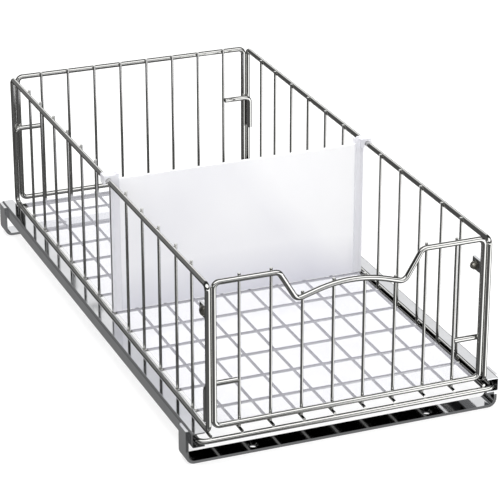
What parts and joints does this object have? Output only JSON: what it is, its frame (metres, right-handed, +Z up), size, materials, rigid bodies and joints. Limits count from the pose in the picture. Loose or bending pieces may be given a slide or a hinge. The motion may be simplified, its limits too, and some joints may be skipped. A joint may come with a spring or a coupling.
{
  "type": "pull out cabinet basket",
  "caption": "Chromed wire basket that slides out on C-channel rails, with a dipped front, a frosted floor liner, a lift-out divider and straps that screw to a cabinet floor.",
  "frame": {"origin": "middle of the footprint at the underside of the mounting straps, where they rest on the cabinet floor", "axes": "+X to the right seen from the front, +Y back into the cabinet, +Z up; the basket slides out along -Y"},
  "size_m": [0.2778, 0.5348, 0.1616],
  "materials": {
    "chrome_wire": "bright chrome plate on welded steel wire",
    "chrome_sheet": "bright chrome plate on folded steel sheet",
    "fastener_steel": "nickel plated steel",
    "black_nylon": "moulded, satin",
    "frosted_sheet": "frosted translucent sheet",
    "frosted_divider": "frosted translucent sheet",
    "clip_plastic": "moulded, translucent"
  },
  "bodies": {
    "chassis": {"rail_left": "chrome_sheet", "rail_right": "chrome_sheet", "front_strap": "chrome_sheet", "rear_strap": "chrome_sheet", "front_guides": "black_nylon", "rear_bumpers": "black_nylon"},
    "basket": {"runner_loop": "chrome_wire", "front_shoes": "black_nylon", "rear_shoes": "black_nylon", "floor_long_wires": "chrome_wire", "floor_cross_wires": "chrome_wire", "floor_liner": "frosted_sheet", "side_frame_left": "chrome_wire", "side_frame_right": "chrome_wire", "side_uprights_left": "chrome_wire", "side_uprights_right": "chrome_wire", "front_frame": "chrome_wire", "front_uprights": "chrome_wire", "front_hooks": "chrome_wire", "rear_frame": "chrome_wire", "rear_uprights": "chrome_wire", "rear_hooks": "chrome_wire", "front_tabs": "chrome_sheet", "side_tabs": "chrome_sheet", "tab_screws": "fastener_steel", "tab_nuts": "fastener_steel"},
    "divider": {"divider_panel": "frosted_divider", "divider_clip_left": "clip_plastic", "divider_clip_right": "clip_plastic"}
  },
  "joints": [
    {"name": "basket_slide", "type": "slide", "parent": "chassis", "child": "basket", "axis": [0, -1, 0], "range_m": [0, 0.4]},
    {"name": "divider_lift", "type": "slide", "parent": "basket", "child": "divider", "axis": [0, 0, 1], "range_m": [0, 0.14]}
  ]
}
